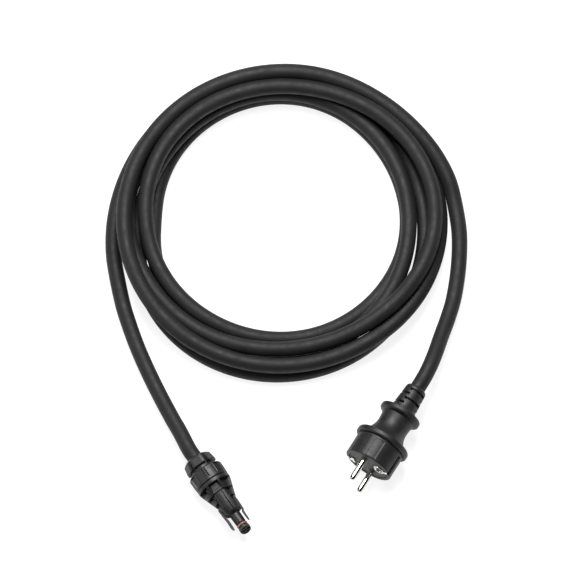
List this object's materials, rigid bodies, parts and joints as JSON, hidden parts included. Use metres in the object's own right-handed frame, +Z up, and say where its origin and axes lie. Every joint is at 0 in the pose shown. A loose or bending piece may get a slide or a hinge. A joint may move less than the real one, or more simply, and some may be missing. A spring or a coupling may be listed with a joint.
{
  "type": "mains connection lead",
  "caption": "Coiled black rubber mains lead with a round latching connector with a gland nut at one end and a moulded round-pin mains plug at the other.",
  "frame": {"origin": "on the surface that the lead lies on, at the centre of the box round the connector and the plug", "axes": "+Z up from that surface, +X from the connector towards the plug, +Y towards the coil"},
  "size_m": [0.2662, 0.376, 0.0427],
  "materials": {
    "cable_rubber": "matt extruded rubber",
    "plug_rubber": "matt moulded rubber",
    "seal_rubber": "soft smooth rubber",
    "connector_plastic": "black moulded, fine spark texture",
    "face_plastic": "dark grey moulded, matt",
    "insert_plastic": "black moulded, smooth",
    "red_silicone": "satin silicone",
    "nickel": "nickel plated, slightly satin",
    "brass_strip": "plain rolled",
    "screw_steel": "zinc plated",
    "core_brown": "smooth insulation",
    "core_blue": "smooth insulation",
    "core_green": "smooth insulation"
  },
  "bodies": {
    "lead": {"cable_coil": "cable_rubber", "connector_core_earth": "core_green", "connector_core_line": "core_brown", "connector_core_neutral": "core_blue", "connector_housing": "connector_plastic", "connector_tail": "cable_rubber", "contact_carrier": "insert_plastic", "contact_earth": "brass_strip", "contact_line": "brass_strip", "contact_neutral": "brass_strip", "crimp_earth": "brass_strip", "crimp_line": "brass_strip", "crimp_neutral": "brass_strip", "earth_clip_left": "nickel", "earth_clip_right": "nickel", "earth_socket": "nickel", "earth_strap": "brass_strip", "keyed_insert": "insert_plastic", "latch_sleeve": "connector_plastic", "nose_o_ring": "red_silicone", "nose_tube": "connector_plastic", "pin_bridge": "face_plastic", "plug_body": "plug_rubber", "plug_core_earth": "core_green", "plug_core_line": "core_brown", "plug_core_neutral": "core_blue", "plug_pin_line": "nickel", "plug_pin_neutral": "nickel", "plug_strain_relief": "plug_rubber", "plug_tail": "cable_rubber", "terminal_screw_earth": "screw_steel", "terminal_screw_line": "screw_steel", "terminal_screw_neutral": "screw_steel"},
    "clamp": {"clamp_cage": "insert_plastic", "cable_seal": "seal_rubber"},
    "nut": {"gland_nut": "connector_plastic"},
    "latch_left": {"latch_arm_left": "connector_plastic"},
    "latch_right": {"latch_arm_right": "connector_plastic"}
  },
  "joints": [
    {"name": "nut_slide", "type": "slide", "parent": "lead", "child": "clamp", "axis": [-0.5519, 0.8339, 0], "range_m": [0, 0.004]},
    {"name": "nut_turn", "type": "hinge", "parent": "clamp", "child": "nut", "pos_m": [-0.08186, 0.00094, 0.01398], "axis": [-0.5519, 0.8339, 0], "range_deg": [0, 720]},
    {"name": "latch_left_flex", "type": "hinge", "parent": "lead", "child": "latch_left", "pos_m": [-0.06218, -0.04191, 0.01244], "axis": [-0.1734, -0.1148, 0.9781], "range_deg": [-2, 4], "stiffness_Nm_per_rad": 0.5},
    {"name": "latch_right_flex", "type": "hinge", "parent": "lead", "child": "latch_right", "pos_m": [-0.0501, -0.03392, 0.01552], "axis": [0.1734, 0.1148, -0.9781], "range_deg": [-2, 4], "stiffness_Nm_per_rad": 0.5}
  ],
  "couplings": [
    {"joint": "nut_slide", "follows": "nut_turn", "m_per_rad": 0.000318}
  ]
}
